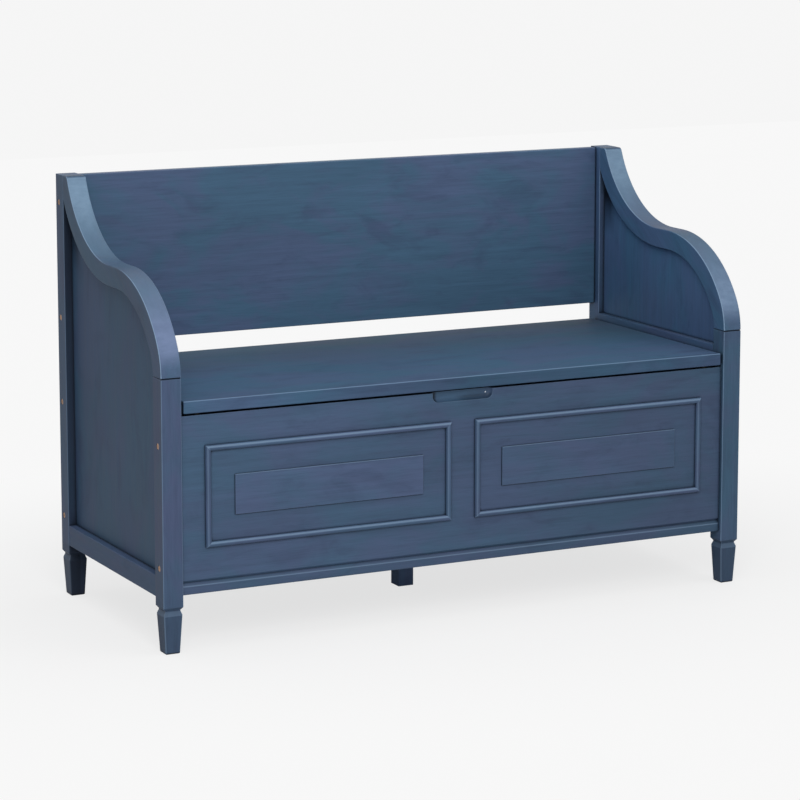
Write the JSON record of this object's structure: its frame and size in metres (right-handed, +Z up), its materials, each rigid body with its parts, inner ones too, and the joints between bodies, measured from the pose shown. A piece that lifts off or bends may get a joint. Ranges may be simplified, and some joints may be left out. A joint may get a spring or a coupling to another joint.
{
  "type": "settle bench",
  "caption": "Low wooden settle with S-curved arm rails, a flat panelled front and a hinged seat that lifts over a storage box on friction stays.",
  "frame": {"origin": "on the floor under the middle of the bench's width and depth", "axes": "+Z up, +X to the right along the bench as seen from the front, +Y from the front to the back"},
  "size_m": [1.067, 0.454, 0.718],
  "materials": {
    "frame_wood": "blue stained and lacquered wood, worn at the arrises",
    "panel_wood": "blue stained and lacquered wood with a level grain",
    "front_wood": "blue stained and lacquered wood with a level grain",
    "seat_wood": "blue stained and lacquered wood with a level grain",
    "trim_wood": "blue stained wood with darker glaze in the corners",
    "inner_wood": "blue stained wood, plain and matt",
    "hinge_steel": "zinc plated, satin",
    "stay_steel": "zinc plated, satin",
    "screw_steel": "zinc plated",
    "bolt_steel": "copper coloured plating, satin",
    "nut_steel": "zinc plated, dull",
    "dowel_wood": "plain beech",
    "bumper_rubber": "soft, matt",
    "scoop_pin": "pale, smooth"
  },
  "bodies": {
    "frame": {"backrest": "panel_wood", "base_screws": "screw_steel", "box_back": "inner_wood", "box_floor": "inner_wood", "centre_bearer": "inner_wood", "centre_leg": "inner_wood", "cross_dowel_nuts": "nut_steel", "frame_bolts": "bolt_steel", "frame_dowels": "dowel_wood", "front_panel": "front_wood", "front_rail": "front_wood", "hinge_pins": "hinge_steel", "left_arm_rail": "frame_wood", "left_front_post": "frame_wood", "left_hinge_fixed_leaf": "hinge_steel", "left_lid_bearer": "inner_wood", "left_moulding_high": "trim_wood", "left_moulding_inner": "trim_wood", "left_moulding_low": "trim_wood", "left_moulding_outer": "trim_wood", "left_raised_field": "trim_wood", "left_rear_post": "frame_wood", "left_seat_level_rail": "inner_wood", "left_side_panel": "panel_wood", "left_side_rail": "frame_wood", "left_stay_base": "stay_steel", "lid_bumpers": "bumper_rubber", "rear_rail": "inner_wood", "right_arm_rail": "frame_wood", "right_front_post": "frame_wood", "right_hinge_fixed_leaf": "hinge_steel", "right_lid_bearer": "inner_wood", "right_moulding_high": "trim_wood", "right_moulding_inner": "trim_wood", "right_moulding_low": "trim_wood", "right_moulding_outer": "trim_wood", "right_raised_field": "trim_wood", "right_rear_post": "frame_wood", "right_seat_level_rail": "inner_wood", "right_side_panel": "panel_wood", "right_side_rail": "frame_wood", "right_stay_base": "stay_steel", "scoop_pin": "scoop_pin", "stay_base_rivets": "stay_steel"},
    "lid": {"seat_lid": "seat_wood", "left_hinge_lid_leaf": "hinge_steel", "right_hinge_lid_leaf": "hinge_steel", "left_stay_lid_plate": "stay_steel", "right_stay_lid_plate": "stay_steel", "lid_screws": "screw_steel", "stay_lid_rivets": "stay_steel"},
    "left_stay_arm": {"left_stay_arm": "stay_steel", "left_stay_elbow_rivet": "stay_steel"},
    "right_stay_arm": {"right_stay_arm": "stay_steel", "right_stay_elbow_rivet": "stay_steel"},
    "left_stay_strut": {"left_stay_strut": "stay_steel"},
    "right_stay_strut": {"right_stay_strut": "stay_steel"}
  },
  "joints": [
    {"name": "lid_hinge", "type": "hinge", "parent": "frame", "child": "lid", "pos_m": [0, 0.2105, 0.3855], "axis": [-1, 0, 0], "range_deg": [0, 60]},
    {"name": "left_stay_arm_pivot", "type": "hinge", "parent": "frame", "child": "left_stay_arm", "pos_m": [-0.4743, 0.19, 0.33], "axis": [-1, 0, 0], "range_deg": [0, 60]},
    {"name": "left_stay_strut_pivot", "type": "hinge", "parent": "lid", "child": "left_stay_strut", "pos_m": [-0.4743, 0.061, 0.3713], "axis": [-1, 0, 0], "range_deg": [-60, 0]},
    {"name": "right_stay_arm_pivot", "type": "hinge", "parent": "frame", "child": "right_stay_arm", "pos_m": [0.4743, 0.19, 0.33], "axis": [-1, 0, 0], "range_deg": [0, 60]},
    {"name": "right_stay_strut_pivot", "type": "hinge", "parent": "lid", "child": "right_stay_strut", "pos_m": [0.4743, 0.061, 0.3713], "axis": [-1, 0, 0], "range_deg": [-60, 0]}
  ],
  "couplings": [
    {"joint": "left_stay_arm_pivot", "follows": "lid_hinge", "ratio": 1},
    {"joint": "left_stay_strut_pivot", "follows": "lid_hinge", "ratio": -1},
    {"joint": "right_stay_arm_pivot", "follows": "lid_hinge", "ratio": 1},
    {"joint": "right_stay_strut_pivot", "follows": "lid_hinge", "ratio": -1}
  ]
}
